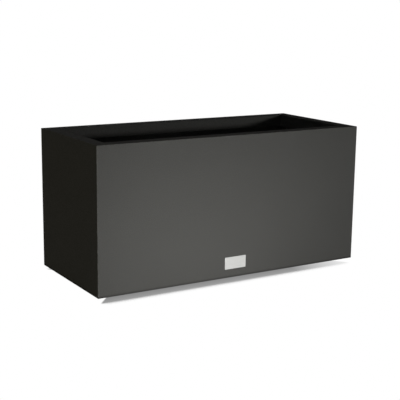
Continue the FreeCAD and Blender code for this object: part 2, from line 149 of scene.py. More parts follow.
class StageSettings(bpy.types.PropertyGroup):
    """Camera, lamps and surround."""
    azimuth: bpy.props.FloatProperty(
        name="Azimuth", description="Camera's turn from the front", default=math.radians(-31.34),
        unit="ROTATION")
    elevation: bpy.props.FloatProperty(
        name="Elevation", description="Camera's height angle", default=math.radians(11.91), unit="ROTATION")
    roll: bpy.props.FloatProperty(
        name="Roll", description="Camera's tilt", default=math.radians(0.727), unit="ROTATION")
    distance: bpy.props.FloatProperty(
        name="Distance", description="Camera to its aim", default=3.0495, unit="LENGTH")
    aim: bpy.props.FloatVectorProperty(
        name="Aim", description="Point in the picture's middle", subtype="XYZ",
        default=(-0.00614, 0.0, 0.2207))
    lens: bpy.props.FloatProperty(
        name="Lens", description="Focal length", default=85.04, unit="CAMERA")
    front_lamp: bpy.props.FloatProperty(
        name="Front lamp", description="Low softbox before the left half", default=4.8, unit="POWER")
    high_lamp: bpy.props.FloatProperty(
        name="High lamp", description="Softbox at the front right, above the rim", default=17.6, unit="POWER")
    back_lamp: bpy.props.FloatProperty(
        name="Back lamp", description="Low softbox behind the box", default=45.0, unit="POWER")
    side_lamp: bpy.props.FloatProperty(
        name="Side lamp", description="Low softbox at the right", default=20.0, unit="POWER")
    left_lamp: bpy.props.FloatProperty(
        name="Left lamp", description="Low fill at the left", default=3.0, unit="POWER")
    left_tint: bpy.props.FloatVectorProperty(
        name="Left tint", description="Colour of the fill at the left", subtype="COLOR",
        default=(1.0, 0.92, 0.68))
    top_lamp: bpy.props.FloatProperty(
        name="Top lamp", description="Softbox over the left half", default=0.3, unit="POWER")
    mouth_lamp: bpy.props.FloatProperty(
        name="Mouth lamp", description="Soft light on the pan and the inner walls", default=0.55,
        unit="POWER")
    surround: bpy.props.FloatProperty(
        name="Surround", description="Light from all round", default=0.02, subtype="FACTOR")


class PlanterSettings(bpy.types.PropertyGroup):
    """All the settings of the planter."""
    coat: bpy.props.PointerProperty(type=CoatSettings)
    zinc: bpy.props.PointerProperty(type=ZincSettings)
    rubber: bpy.props.PointerProperty(type=RubberSettings)
    badge: bpy.props.PointerProperty(type=BadgeSettings)
    weld: bpy.props.PointerProperty(type=WeldSettings)
    stage: bpy.props.PointerProperty(type=StageSettings)


# Surfaces as whole arrays of points, with the faces between them

def grid_quads(rows, columns, closed_rows):
    """Quads between neighbouring points of a grid that is closed along its columns."""
    row = np.arange(rows if closed_rows else rows - 1)[:, None]
    column = np.arange(columns)[None, :]
    next_row = (row + 1) % rows
    next_column = (column + 1) % columns
    corners = (
        row * columns + column,
        row * columns + next_column,
        next_row * columns + next_column,
        next_row * columns + column,
    )
    return np.stack(np.broadcast_arrays(*corners), axis=-1).reshape(-1, 4)


def ring_loop(rings):
    """Surface through a stack of rings whose last ring meets the first."""
    rows, columns = rings.shape[:2]
    return rings.reshape(-1, 3), grid_quads(rows, columns, True).tolist()


def ring_stack(rings):
    """Surface through a stack of rings, closed at both ends by a fan about the ring's middle."""
    rows, columns = rings.shape[:2]
    ends = np.stack([rings[0].mean(axis=0), rings[-1].mean(axis=0)])
    points = np.vstack([rings.reshape(-1, 3), ends])
    here = np.arange(columns)
    ahead = (here + 1) % columns
    last_row = (rows - 1) * columns
    low_middle = np.full(columns, rows * columns)
    low_fan = np.stack([low_middle, ahead, here], axis=1)
    high_fan = np.stack([low_middle + 1, last_row + here, last_row + ahead], axis=1)
    faces = grid_quads(rows, columns, False).tolist() + low_fan.tolist() + high_fan.tolist()
    return points, faces


def joined(surfaces):
    """Several surfaces as one."""
    points = []
    faces = []
    count = 0
    for surface_points, surface_faces in surfaces:
        points.append(surface_points)
        faces += [[index + count for index in face] for face in surface_faces]
        count += len(surface_points)
    return np.vstack(points), faces


def at_places(surface, places):
    """Copies of one surface moved to a list of places."""
    points, faces = surface
    return joined([(points + np.asarray(place), faces) for place in places])


def facing_out(surface):
    """The same surface with its faces turned round if its volume comes out negative."""
    points, faces = surface
    triangles = [(face[0], face[i], face[i + 1]) for face in faces for i in range(1, len(face) - 1)]
    corners = points[np.asarray(triangles)]
    volume = np.einsum("ij,ij->i", corners[:, 0], np.cross(corners[:, 1], corners[:, 2])).sum()
    if volume < 0:
        faces = [face[::-1] for face in faces]
    return points, faces


def circle_angles(count):
    """Evenly spaced angles round a full turn."""
    return np.arange(count) * (2 * math.pi / count)


def turned_points(radius, angle, height):
    """Points about the upright axis: a radius r, an angle a and a height z give (r cos a, r sin a, z)."""
    return np.stack(np.broadcast_arrays(radius * np.cos(angle), radius * np.sin(angle), height), axis=-1)


def turned_rings(outline, columns):
    """Rings of a turned shape: each outline point (radius, height) goes once round the upright axis."""
    return turned_points(outline[:, :1], circle_angles(columns), outline[:, 1:])


def corner_arc(before, corner, after, radius, steps):
    """Arc that rounds a corner: it meets each leg at the radius over the tangent of half the angle."""
    back = (before - corner) / np.linalg.norm(before - corner)
    ahead = (after - corner) / np.linalg.norm(after - corner)
    half = math.acos(float(np.clip(back @ ahead, -1, 1))) / 2
    middle = (back + ahead) / np.linalg.norm(back + ahead)
    centre = corner + middle * (radius / math.sin(half))
    start = corner + back * (radius / math.tan(half)) - centre
    end = corner + ahead * (radius / math.tan(half)) - centre
    sweep = math.pi - 2 * half
    share = np.linspace(0, 1, steps)[:, None]
    return centre + (np.sin((1 - share) * sweep) * start + np.sin(share * sweep) * end) / math.sin(sweep)


def rounded_outline(corners, steps=6):
    """Outline through corners (across, along, rounding), each an arc where its rounding isn't zero."""
    points = np.asarray(corners, dtype=float)[:, :2]
    stretches = []
    for index, (_, _, rounding) in enumerate(corners):
        if rounding == 0:
            stretches.append(points[index:index + 1])
            continue
        after = points[(index + 1) % len(points)]
        stretches.append(corner_arc(points[index - 1], points[index], after, rounding, steps))
    return np.vstack(stretches)


def hexagon_edge(flats, angle):
    """Distance from a hexagon's middle to its edge: half its flats over the cosine from the nearest flat."""
    sector = math.pi / 3
    return flats / 2 / np.cos(angle % sector - sector / 2)


# Pieces in the scene

def add_piece(name, surface, material, body=MAIN_BODY, replaced=()):
    """Put a surface into the scene as a piece that rides on a body and stands for CAD nodes."""
    points, faces = surface
    mesh = bpy.data.meshes.new(name)
    mesh.from_pydata(points.tolist(), [], faces)
    mesh.materials.append(material)
    mesh.shade_smooth()
    mesh.set_sharp_from_angle(angle=SHARP_EDGE)
    piece = bpy.data.objects.new(name, mesh)
    bpy.context.scene.collection.objects.link(piece)
    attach(piece, body)
    if replaced:
        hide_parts(*replaced)
    return piece


def add_fasteners(places, pieces):
    """Plated fasteners at their places, each with its name, its surface and the CAD node it stands for."""
    plated = named_material("plated_zinc")
    for name, surface, node_name in pieces:
        add_piece(name, at_places(surface, places), plated, replaced=[node_name])


def dress(nodes, material):
    """Give CAD nodes a material."""
    for name in nodes:
        node_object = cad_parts[name]
        node_object.data.materials.clear()
        node_object.data.materials.append(material)


def node_middle(name):
    """Middle of a CAD node in plan, at the height of the floor."""
    low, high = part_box(name)
    return (low[0] + high[0]) / 2, (low[1] + high[1]) / 2, 0.0


# Shader nodes

def feed(tree, socket, value):
    """Give an input a plain value, or link another node's output to it."""
    if isinstance(value, bpy.types.NodeSocket):
        tree.links.new(value, socket)
    else:
        socket.default_value = value


def add_node(tree, kind, inputs, **settings):
    """One node: its settings, and its inputs as plain values or as other nodes' outputs."""
    made = tree.nodes.new(kind)
    for key, value in settings.items():
        setattr(made, key, value)
    for key, value in inputs.items():
        feed(tree, made.inputs[key], value)
    return made


def maths(tree, operation, first, second=0.0):
    """Output of one Math node."""
    return add_node(tree, "ShaderNodeMath", {0: first, 1: second}, operation=operation).outputs[0]


def product(tree, first, *others):
    """Several values multiplied with each other."""
    result = first
    for other in others:
        result = maths(tree, "MULTIPLY", result, other)
    return result


def varied(tree, mean, value, share):
    """Mean plus a share of another value."""
    return maths(tree, "ADD", mean, maths(tree, "MULTIPLY", value, share))


def remapped(tree, value, span, to=(0.0, 1.0)):
    """Value carried from one span to another and held inside it."""
    inputs = {"Value": value, 1: span[0], 2: span[1], 3: to[0], 4: to[1]}
    return add_node(tree, "ShaderNodeMapRange", inputs, clamp=True).outputs[0]


def blended(tree, share, first, second):
    """Colour between two colours."""
    mix = add_node(tree, "ShaderNodeMix", {"Factor": share}, data_type="RGBA")
    sockets = {socket.identifier: socket for socket in (*mix.inputs, *mix.outputs)}
    feed(tree, sockets["A_Color"], first)
    feed(tree, sockets["B_Color"], second)
    return sockets["Result_Color"]


def with_alpha(colour, tone=1.0):
    """Colour of three numbers, made lighter or darker, as a shader's four numbers."""
    return tuple(channel * tone for channel in colour) + (1.0,)


def grey(level):
    """Neutral colour as a shader's four numbers."""
    return (level, level, level, 1.0)


def toned(tree, share, colour, low, high):
    """Colour between a low and a high tone of one colour."""
    return blended(tree, share, with_alpha(colour, low), with_alpha(colour, high))


def object_point(tree):
    """Object coordinates, which are the frame's own metres."""
    return tree.nodes.new("ShaderNodeTexCoord").outputs["Object"]


def box_place(tree):
    """Place in the frame, with the distances inwards from the nearer end and from the nearer long side."""
    place = add_node(tree, "ShaderNodeSeparateXYZ", {0: object_point(tree)}).outputs
    to_end = maths(tree, "SUBTRACT", WALL_X, maths(tree, "ABSOLUTE", place["X"]))
    to_side = maths(tree, "SUBTRACT", WALL_Y, maths(tree, "ABSOLUTE", place["Y"]))
    return place, to_end, to_side


def scale_of(tree, width):
    """Scale at which a noise has features of a width."""
    return maths(tree, "DIVIDE", 1.0, width)


def noise(tree, scale, detail, roughness=0.5, point=None):
    """Noise value about one half, with features of one over the scale."""
    inputs = {"Vector": point or object_point(tree), "Scale": scale, "Detail": detail, "Roughness": roughness}
    return add_node(tree, "ShaderNodeTexNoise", inputs).outputs["Fac"]


# Effects that several finishes share

def effect_group(name, inputs, outputs):
    """Empty shader node group with named number sockets; gives the tree, its inputs and its output node."""
    tree = bpy.data.node_groups.new(name, "ShaderNodeTree")
    for socket, default in inputs.items():
        made = tree.interface.new_socket(name=socket, in_out="INPUT", socket_type="NodeSocketFloat")
        made.default_value = default
    for socket in outputs:
        tree.interface.new_socket(name=socket, in_out="OUTPUT", socket_type="NodeSocketFloat")
    return tree, tree.nodes.new("NodeGroupInput").outputs, tree.nodes.new("NodeGroupOutput")


def surface_grain():
    """Group: a fine grain and a broad cloudiness, each about zero, with a height for bump."""
    noise_middle = 0.5
    tree, given, result = effect_group(
        "surface_grain", {"Grain Width": 0.002, "Cloud Width": 0.2}, ("Grain", "Cloud", "Height"))
    grain = noise(tree, scale_of(tree, given["Grain Width"]), detail=3.0, roughness=0.55)
    cloud = noise(tree, scale_of(tree, given["Cloud Width"]), detail=4.0)
    feed(tree, result.inputs["Grain"], maths(tree, "SUBTRACT", grain, noise_middle))
    feed(tree, result.inputs["Cloud"], maths(tree, "SUBTRACT", cloud, noise_middle))
    feed(tree, result.inputs["Height"], product(tree, grain, given["Grain Width"]))


def settled_dust():
    """Group: how much dust lies on a face, from how far it looks up and a patchy noise."""
    tilt_span = (0.3, 0.95)
    patch_span = (0.35, 0.7)
    thinnest = 0.2
    tree, given, result = effect_group("settled_dust", {"Amount": 0.1, "Patch Width": 0.05}, ("Mask",))
    normal = tree.nodes.new("ShaderNodeNewGeometry").outputs["Normal"]
    up = add_node(tree, "ShaderNodeSeparateXYZ", {0: normal}).outputs["Z"]
    faces_up = remapped(tree, up, tilt_span)
    patches = noise(tree, scale_of(tree, given["Patch Width"]), detail=5.0, roughness=0.6)
    patches = remapped(tree, patches, patch_span, to=(thinnest, 1.0))
    feed(tree, result.inputs["Mask"], product(tree, faces_up, patches, given["Amount"]))


def box_edge_wear():
    """Group: rubbed edges of the box, where two of the distances to its sides and top are small at once."""
    full_wear = 0.8
    break_span = (0.42, 0.62)
    least_wear = 0.15
    tree, given, result = effect_group("box_edge_wear", {"Width": 0.002, "Amount": 0.2}, ("Mask",))
    place, to_end, to_side = box_place(tree)
    to_top = maths(tree, "SUBTRACT", RIM_TOP, place["Z"])
    smaller = maths(tree, "MINIMUM", to_end, to_side)
    larger = maths(tree, "MAXIMUM", to_end, to_side)
    second = maths(tree, "MAXIMUM", smaller, maths(tree, "MINIMUM", larger, to_top))
    near = maths(tree, "SUBTRACT", 1.0, maths(tree, "DIVIDE", second, given["Width"]))
    near = remapped(tree, near, (0.0, full_wear))
    broken = noise(tree, scale=90.0, detail=5.0, roughness=0.65)
    broken = remapped(tree, broken, break_span, to=(least_wear, 1.0))
    feed(tree, result.inputs["Mask"], product(tree, near, broken, given["Amount"]))


def effect(tree, group_name, **values):
    """One of the shared effects placed in a material with its own values."""
    made = tree.nodes.new("ShaderNodeGroup")
    made.node_tree = bpy.data.node_groups[group_name]
    for key, value in values.items():
        made.inputs[key.replace("_", " ").title()].default_value = value
    return made.outputs


# Finishes

def new_material(name, fixed):
    """Material with one Principled shader and its constant values; gives the material, tree and shader."""
    material = bpy.data.materials.new(name)
    material.use_nodes = True
    shader = material.node_tree.nodes["Principled BSDF"]
    for key, value in fixed.items():
        shader.inputs[key].default_value = value
    return material, material.node_tree, shader


def named_material(name):
    """Material that an earlier operator made."""
    return bpy.data.materials[name]


def finish(tree, shader, colour, roughness, height, strength, distance):
    """Feed the shader its colour, its roughness and a bump from a height."""
    bump = add_node(tree, "ShaderNodeBump", {"Height": height, "Strength": strength, "Distance": distance})
    feed(tree, shader.inputs["Base Color"], colour)
    feed(tree, shader.inputs["Roughness"], roughness)
    feed(tree, shader.inputs["Normal"], bump.outputs["Normal"])


def rim_mitre(tree, width):
    """One along the dressed mitres on top of the rim, where both distances to the outside are alike."""
    core_share = 0.3
    place, to_end, to_side = box_place(tree)
    apart = maths(tree, "ABSOLUTE", maths(tree, "SUBTRACT", to_end, to_side))
    line = remapped(tree, apart, (core_share * width, width), to=(1.0, 0.0))
    on_top = maths(tree, "GREATER_THAN", place["Z"], RIM_TOP - width)
    return product(tree, line, on_top)


def wall_foot(tree, shaded_height):
    """One on the bottom bend of the walls, falling to nought above it: the mask of the painted shade along
    the foot of the walls.
    """
    height = add_node(tree, "ShaderNodeSeparateXYZ", {0: object_point(tree)}).outputs["Z"]
    return remapped(tree, height, (WALL_FOOT + shaded_height / 3, WALL_FOOT + shaded_height), to=(1.0, 0.0))


def charcoal_coat(coat):
    """Matt powder coat: orange peel with painted shade in its hollows and painted light on its crests, faint
    clouds, rubbed edges, painted shade along the foot of the walls and a trace of dust.
    """
    dust_colour = (0.30, 0.28, 0.25)
    rubbed_tone = 2.2
    # Painted shade along the foot of the walls: how dark, how strong and how high it reaches
    foot_shade_tone = 0.5
    foot_shade_share = 0.7
    foot_shade_height = 0.009
    seam_tone = 0.4
    seam_share = 0.4
    material, tree, shader = new_material("charcoal_coat", {"Specular IOR Level": coat.gloss})
    grain = effect(tree, "surface_grain", grain_width=coat.peel_width, cloud_width=0.35)
    dust = effect(tree, "settled_dust", amount=coat.dust, patch_width=0.06)["Mask"]
    wear = effect(tree, "box_edge_wear", width=0.003, amount=0.5)["Mask"]
    # Painted shade: the coat is darker on the bottom bend of the walls, in place of the contact shadow at the
    # foot
    painted_foot_shade = product(tree, wall_foot(tree, foot_shade_height), foot_shade_share)
    seam = rim_mitre(tree, coat.seam)
    cloud = remapped(tree, grain["Cloud"], SOFT_SPAN)
    peel = remapped(tree, grain["Grain"], STEEP_SPAN)
    # Painted shade and light: darker tones in the hollows of the peel and lighter ones on its crests,
    # following the same grain as the bump
    shaded_pits = toned(tree, cloud, coat.colour, low=0.78, high=0.84)
    lit_tops = toned(tree, cloud, coat.colour, low=1.18, high=1.26)
    colour = blended(tree, peel, shaded_pits, lit_tops)
    colour = blended(tree, wear, colour, with_alpha(coat.colour, rubbed_tone))
    colour = blended(tree, painted_foot_shade, colour, with_alpha(coat.colour, foot_shade_tone))
    colour = blended(tree, dust, colour, with_alpha(dust_colour))
    colour = blended(tree, product(tree, seam, seam_share), colour, with_alpha(coat.colour, seam_tone))
    roughness = varied(tree, coat.roughness, grain["Cloud"], share=0.12)
    roughness = varied(tree, roughness, dust, share=0.15)
    height = varied(tree, grain["Height"], seam, share=-coat.seam)
    finish(tree, shader, colour, roughness, height, strength=0.8, distance=0.25)
    return material


def spangled_zinc(zinc):
    """Bare galvanized sheet: flat crystals of slightly different grey and gloss, and a little dust."""
    dust_colour = (0.26, 0.24, 0.21)
    wander = zinc.spangle / 3
    mean_roughness = 0.48
    material, tree, shader = new_material("spangled_zinc", {"Metallic": 0.7})
    point = object_point(tree)
    bends = add_node(tree, "ShaderNodeTexNoise", {"Vector": point, "Scale": 120.0, "Detail": 2.0})
    shift = add_node(
        tree, "ShaderNodeVectorMath", {0: bends.outputs["Color"], "Scale": wander}, operation="SCALE")
    place = add_node(tree, "ShaderNodeVectorMath", {0: point, 1: shift.outputs[0]}, operation="ADD")
    crystals = add_node(
        tree, "ShaderNodeTexVoronoi", {"Vector": place.outputs[0], "Scale": 1 / zinc.spangle})
    tone = add_node(tree, "ShaderNodeSeparateColor", {0: crystals.outputs["Color"]}).outputs
    dust = effect(tree, "settled_dust", amount=0.18, patch_width=0.08)["Mask"]
    grain = effect(tree, "surface_grain", grain_width=0.0012, cloud_width=0.12)
    colour = toned(tree, tone["Red"], zinc.colour, low=0.80, high=1.18)
    colour = blended(tree, dust, colour, with_alpha(dust_colour))
    roughness = varied(tree, mean_roughness, tone["Green"], share=0.20)
    roughness = varied(tree, roughness, grain["Cloud"], share=0.3)
    finish(tree, shader, colour, roughness, grain["Height"], strength=0.15, distance=0.1)
    return material


def plated_zinc(zinc):
    """Bright zinc plating of the small fasteners, duller in patches."""
    mean_roughness = 0.34
    material, tree, shader = new_material("plated_zinc", {"Metallic": 1.0})
    grain = effect(tree, "surface_grain", grain_width=0.0006, cloud_width=0.006)
    bright = remapped(tree, grain["Cloud"], STEEP_SPAN)
    colour = toned(tree, bright, zinc.plating, low=0.78, high=1.12)
    roughness = varied(tree, mean_roughness, grain["Cloud"], share=0.4)
    finish(tree, shader, colour, roughness, grain["Height"], strength=0.1, distance=0.05)
    return material


def moulded_rubber(name, rubber_colour, dust_amount):
    """Matt moulded rubber with a fine sand-blasted grain and a bloom of dust."""
    dust_colour = (0.22, 0.20, 0.18)
    mean_roughness = 0.68
    material, tree, shader = new_material(name, {"Specular IOR Level": 0.3})
    grain = effect(tree, "surface_grain", grain_width=0.0007, cloud_width=0.02)
    dust = effect(tree, "settled_dust", amount=dust_amount, patch_width=0.012)["Mask"]
    cloud = remapped(tree, grain["Cloud"], SOFT_SPAN)
    colour = toned(tree, cloud, rubber_colour, low=0.85, high=1.25)
    colour = blended(tree, dust, colour, with_alpha(dust_colour))
    roughness = varied(tree, mean_roughness, grain["Cloud"], share=0.25)
    finish(tree, shader, colour, roughness, grain["Height"], strength=0.4, distance=0.2)
    return material


def brushed_plate(badge):
    """Bare metal brushed along its length, lighter and darker line by line."""
    line_span = (0.3, 0.7)
    mean_roughness = 0.46
    material, tree, shader = new_material("brushed_plate", {"Metallic": 0.2})
    stretched = add_node(
        tree, "ShaderNodeMapping", {"Vector": object_point(tree), "Scale": (40.0, 900.0, 2600.0)})
    lines = noise(tree, scale=1.0, detail=4.0, roughness=0.6, point=stretched.outputs[0])
    grain = effect(tree, "surface_grain", grain_width=0.001, cloud_width=0.02)
    tone = remapped(tree, lines, line_span)
    colour = toned(tree, tone, badge.colour, low=0.90, high=1.08)
    roughness = varied(tree, mean_roughness, tone, share=0.14)
    roughness = varied(tree, roughness, grain["Cloud"], share=0.2)
    finish(tree, shader, colour, roughness, lines, strength=0.06, distance=0.0002)
    return material


def foam_pad():
    """Dark open-pored foam of the adhesive pad, with painted shade in its pores."""
    skin_tone = 0.10
    pore_shade_tone = 0.05
    pore_span = (0.0, 0.7)
    mean_roughness = 0.8
    material, tree, shader = new_material("foam_pad", {"Specular IOR Level": 0.1})
    pores = add_node(tree, "ShaderNodeTexVoronoi", {"Vector": object_point(tree), "Scale": 1800.0})
    depth = remapped(tree, pores.outputs["Distance"], pore_span)
    # Painted shade: the pores are coloured darker than the skin of the foam
    colour = blended(tree, depth, grey(skin_tone), grey(pore_shade_tone))
    roughness = varied(tree, mean_roughness, depth, share=0.15)
    finish(tree, shader, colour, roughness, depth, strength=0.3, distance=0.0002)
    return material


# Shapes of the pieces

def thread_rings(bottom, top, free_end, columns):
    """Thread: the radius falls by a triangle wave of height less turn, and tapers over the last pitch."""
    rows = int((top - bottom) / THREAD_PITCH * ROWS_PER_TURN)
    height = np.linspace(bottom, top, rows)[:, None]
    angle = circle_angles(columns)[None, :]
    phase = (height / THREAD_PITCH - angle / (2 * math.pi)) % 1.0
    groove = THREAD_DEPTH * (1 - np.abs(2 * phase - 1))
    taper = THREAD_DEPTH * np.clip(1 - np.abs(height - free_end) / THREAD_PITCH, 0, 1)
    return turned_points(SHANK_RADIUS - groove - taper, angle, height)


def hexagon_rings(bottom, top, bore, chamfer_low, chamfer_high, columns=96):
    """Hexagon block: its sides follow the hexagon, and a 30 degree cone takes its corners off where asked."""
    face_share = 0.475
    chamfer = math.tan(math.radians(30))
    angle = circle_angles(columns)
    edge = hexagon_edge(NUT_FLATS, angle)
    face = np.minimum(edge, NUT_FLATS * face_share)
    fall = (edge - face) * chamfer
    levels = (
        (bore, bottom),
        (face, bottom),
        (edge, bottom + fall * chamfer_low),
        (edge, top - fall * chamfer_high),
        (face, top),
        (bore, top),
    )
    return np.stack([turned_points(radius, angle, height) for radius, height in levels])


def nut_surface(low, high):
    """Hexagon nut: a hexagon block with both faces chamfered, closed through its bore."""
    return ring_loop(hexagon_rings(low, high, SHANK_RADIUS, chamfer_low=1.0, chamfer_high=1.0))


def bolt_surface(end, seat, high):
    """Hexagon bolt, head up: threaded shank, flat seat, then a head chamfered on top."""
    columns = 96
    pole_radius = NUT_FLATS * 0.02
    shank = thread_rings(end, seat - THREAD_DEPTH, end, columns)
    head = hexagon_rings(seat, high, pole_radius, chamfer_low=0.0, chamfer_high=1.0, columns=columns)[1:]
    return ring_stack(np.concatenate([shank, head]))


def screw_surface(low, seat, high, head_radius, socket_flats, socket_depth):
    """Button-head screw, head down: hexagon socket, turned dome, then a threaded shank."""
    columns = 48
    dome_round = 0.0022
    edge_round = 0.0003
    socket_lead = 0.0001
    socket_mouth = socket_flats * 0.62
    angle = circle_angles(columns)
    socket = hexagon_edge(socket_flats, angle)
    dome = rounded_outline([
        (socket_mouth, low, 0),
        (head_radius, low, dome_round),
        (head_radius, seat, edge_round),
        (SHANK_RADIUS, seat, 0),
    ], steps=8)
    rings = [
        turned_points(socket, angle, low + socket_depth)[None],
        turned_points(socket, angle, low + socket_lead)[None],
        turned_rings(dome, columns),
        thread_rings(seat + THREAD_DEPTH, high, high, columns),
    ]
    return ring_stack(np.concatenate(rings))


def washer_surface(low, high, radius):
    """Flat washer, turned from a closed outline with softly stamped edges."""
    bore_round = 0.0002
    outline = [
        (HOLE_RADIUS, low, bore_round),
        (radius, low, 2 * bore_round),
        (radius, high, 1.5 * bore_round),
        (HOLE_RADIUS, high, bore_round),
    ]
    return ring_loop(turned_rings(rounded_outline(outline), columns=48))


def rivet_surface(low, high, pan_top, head_radius, tail_radius):
    """Blind rivet, turned from an outline: set tail below, domed head above with the snapped pin's dimple."""
    shank = head_radius / 2
    neck = (pan_top + low) / 2
    dimple_mouth = head_radius * 0.34
    dimple_floor = head_radius * 0.28
    dimple_bottom = high - 0.0006
    tail_round = 0.0009
    head_round = 0.0012
    edge_round = 0.0002
    outline = [
        (0.0, low, 0),
        (tail_radius, low, tail_round),
        (tail_radius, neck, 0),
        (shank, neck, 0),
        (shank, pan_top, 0),
        (head_radius, pan_top, edge_round),
        (head_radius, high, head_round),
        (dimple_mouth, high, edge_round),
        (dimple_floor, dimple_bottom, edge_round / 2),
        (0.0, dimple_bottom, 0),
    ]
    return ring_stack(turned_rings(rounded_outline(outline)[1:-1], columns=32))


def foot_surface(low, high, base_radius, top_radius, recess_radius, recess_depth):
    """Rubber foot, turned from a closed outline: tapered wall, moulding line, two grooves in its tread."""
    tread = base_radius - recess_radius
    groove = tread * 0.08
    groove_top = low + 0.0010
    groove_round = 0.0002
    recess_top = low + recess_depth
    recess_round = 0.0008
    bore_round = 0.0003
    tread_round = 0.0020
    line_height = low + (high - low) * 0.72
    line_radius = base_radius + (top_radius - base_radius) * 0.70
    line_step = 0.0006
    line_rounds = (0.0004, 0.0005)
    top_round = 0.0006
    outline = [(recess_radius, low, recess_round)]
    for groove_share in (0.30, 0.58):
        middle = recess_radius + tread * groove_share
        outline += [
            (middle - groove, low, groove_round),
            (middle - groove / 2, groove_top, groove_round),
            (middle + groove / 2, groove_top, groove_round),
            (middle + groove, low, groove_round),
        ]
    outline += [
        (base_radius, low, tread_round),
        (line_radius, line_height, line_rounds[0]),
        (top_radius, line_height + line_step, line_rounds[1]),
        (top_radius, high, top_round),
        (HOLE_RADIUS, high, bore_round),
        (HOLE_RADIUS, recess_top, bore_round),
        (recess_radius, recess_top, recess_round),
    ]
    return ring_loop(turned_rings(rounded_outline(outline), columns=72))


def plug_surface(low, seat, cap_top, cap_radius, stem_radius, taper):
    """Drain plug's body, turned from an outline: tapered stem, two sealing beads, cap with a raised rim."""
    bead_rise = 0.00024
    bead_reach = 0.0009
    bead_round = 0.0004
    edge_round = 0.0003
    hollow_top = low + 0.0008
    hollow_round = 0.0002
    stem_round = 0.0007
    cap_rounds = (0.0006, 0.0009)
    sink_floor = cap_top - 0.0007
    sink_round = 0.0004

    def stem(height):
        """Radius of the tapered stem at a height."""
        return stem_radius - taper * (seat - height) / (seat - low)

    outline = [
        (0.0, hollow_top, 0),
        (stem_radius * 0.62, hollow_top, hollow_round),
        (stem_radius * 0.70, low, edge_round),
        (stem(low), low, stem_round),
    ]
    for bead_share in (0.30, 0.62):
        middle = low + (seat - low) * bead_share
        outline += [
            (stem(middle - bead_reach), middle - bead_reach, edge_round),
            (stem(middle) + bead_rise, middle, bead_round),
            (stem(middle + bead_reach), middle + bead_reach, edge_round),
        ]
    outline += [
        (stem_radius, seat, edge_round),
        (cap_radius, seat, cap_rounds[0]),
        (cap_radius, cap_top, cap_rounds[1]),
        (cap_radius * 0.84, cap_top, sink_round),
        (cap_radius * 0.80, sink_floor, sink_round),
        (0.0, sink_floor, 0),
    ]
    return ring_stack(turned_rings(rounded_outline(outline)[1:-1], columns=72))


def tab_surface(bottom, top, half_width, half_thickness):
    """Finger tab: flat oval sections whose width ends in a half circle, flared where it leaves the cap."""
    rows = 40
    columns = 48
    nearly_one = 0.9995
    thinning = 0.98
    flare_reach = 0.0022
    flare_height = 0.004
    oval_power = 0.5
    share = np.linspace(0, 1, rows)[:, None]
    height = bottom + (top - bottom) * np.sin(share * math.pi / 2)
    over_arch = np.clip((height - (top - half_width)) / half_width, 0, nearly_one)
    near_top = np.clip((height - (top - half_thickness)) / half_thickness, 0, nearly_one)
    flare = flare_reach * np.clip(1 - (height - bottom) / flare_height, 0, 1) ** 2
    width = half_width * np.sqrt(1 - over_arch ** 2) + flare
    thickness = half_thickness * np.sqrt(1 - near_top ** 2) * thinning + flare
    angle = circle_angles(columns)
    x = width * np.sign(np.cos(angle)) * np.abs(np.cos(angle)) ** oval_power
    y = thickness * np.sign(np.sin(angle)) * np.abs(np.sin(angle)) ** oval_power
    return ring_stack(np.stack(np.broadcast_arrays(x, y, height), axis=-1))


def plate_surface(low, high, border, depth, corner, bevel):
    """Badge: rounded rectangles that shrink in steps from the back edge to the field inside the border."""
    middle_x = (low[0] + high[0]) / 2
    middle_z = (low[2] + high[2]) / 2
    half_x = (high[0] - low[0]) / 2
    half_z = (high[2] - low[2]) / 2
    back = high[1]
    face = low[1]
    field = face + depth
    slope = 0.0005
    hold = 0.0002
    bevel_bow = bevel * 0.3
    least_round = 0.0004
    round_share = 0.9
    levels = (
        (0.0, back),
        (0.0, face + bevel),
        (bevel_bow, face + bevel_bow),
        (bevel, face),
        (bevel + hold, face),
        (border - hold, face),
        (border, face),
        (border + slope, field),
        (border + slope + hold, field),
        (half_z * 0.6, field),
        (half_z * 0.9, field),
    )
    rings = []
    for inset, y in levels:
        reach_x = half_x - inset
        reach_z = half_z - inset
        rounding = min(max(corner - inset, least_round), reach_z * round_share)
        outline = rounded_outline([
            (middle_x - reach_x, middle_z - reach_z, rounding),
            (middle_x + reach_x, middle_z - reach_z, rounding),
            (middle_x + reach_x, middle_z + reach_z, rounding),
            (middle_x - reach_x, middle_z + reach_z, rounding),
        ])
        rings.append(np.stack([outline[:, 0], np.full(len(outline), y), outline[:, 1]], axis=-1))
    return ring_stack(np.stack(rings))


def weld_bead(start, end, first_way, second_way, weld, turn=math.pi / 2):
    """Weld: part of an oval from one way to another, carried along a line with ripples and thin ends."""
    rows_per_ripple = 6
    columns = 9
    thinnest = 0.02
    ripple_bow = 0.35
    ripple_depth = 0.10
    root_depth = 0.0003
    start, end, first, second = np.array([start, end, first_way, second_way], dtype=float)
    length = float(np.linalg.norm(end - start))
    share = np.linspace(0, 1, int(length / weld.pitch * rows_per_ripple))[:, None]
    sweep = np.linspace(0, turn, columns)[None, :]
    from_end = np.clip(np.minimum(share, 1 - share) * length / weld.size, 0, 1)
    swell = np.sqrt(np.clip(1 - (1 - from_end) ** 2, thinnest, 1))
    phase = share * length / weld.pitch - ripple_bow * np.sin(2 * sweep)
    reach = weld.size * swell * (1 - ripple_depth * (phase % 1.0))
    line = (start + (end - start) * share)[:, None, :]
    arc = np.cos(sweep)[..., None] * first + np.sin(sweep)[..., None] * second
    skin = line + reach[..., None] * arc
    root = line - root_depth * (first + second)
    return facing_out(ring_stack(np.concatenate([root, skin], axis=1)))


# Operators, one for each piece or group of like pieces

